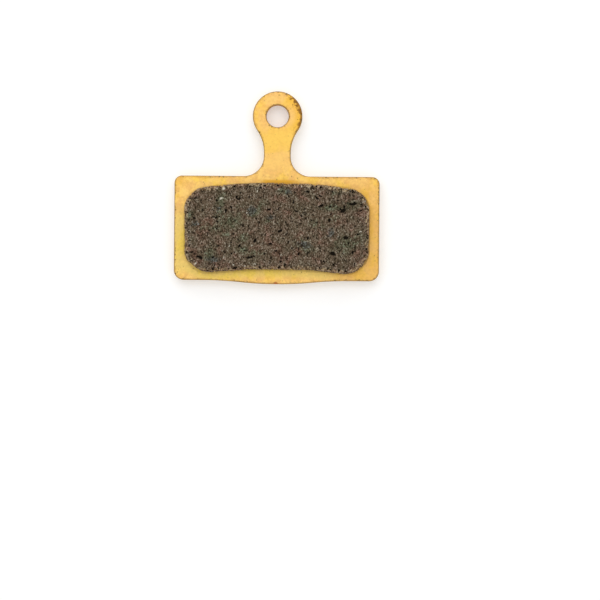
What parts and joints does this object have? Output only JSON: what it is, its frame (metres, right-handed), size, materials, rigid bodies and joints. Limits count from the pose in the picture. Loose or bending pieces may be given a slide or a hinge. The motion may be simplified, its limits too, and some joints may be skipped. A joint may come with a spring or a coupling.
{
  "type": "bicycle disc brake pad",
  "caption": "Flat steel backing plate with a necked pin eye, a keyed sintered friction block shaped to the rotor track, and a white heat barrier coat on its back.",
  "frame": {"origin": "middle of the plate's body on the coated back face, where the caliper piston presses", "axes": "+Z out of the friction face towards the rotor, +Y along the neck towards the pin eye, +X along the plate's body"},
  "size_m": [0.036, 0.0338, 0.004],
  "materials": {
    "plated_steel": "satin",
    "friction_compound": "matte",
    "heat_barrier_white": "matte"
  },
  "bodies": {
    "root": {"backing_plate": "plated_steel", "friction_block": "friction_compound", "heat_barrier_coat": "heat_barrier_white"}
  },
  "joints": []
}
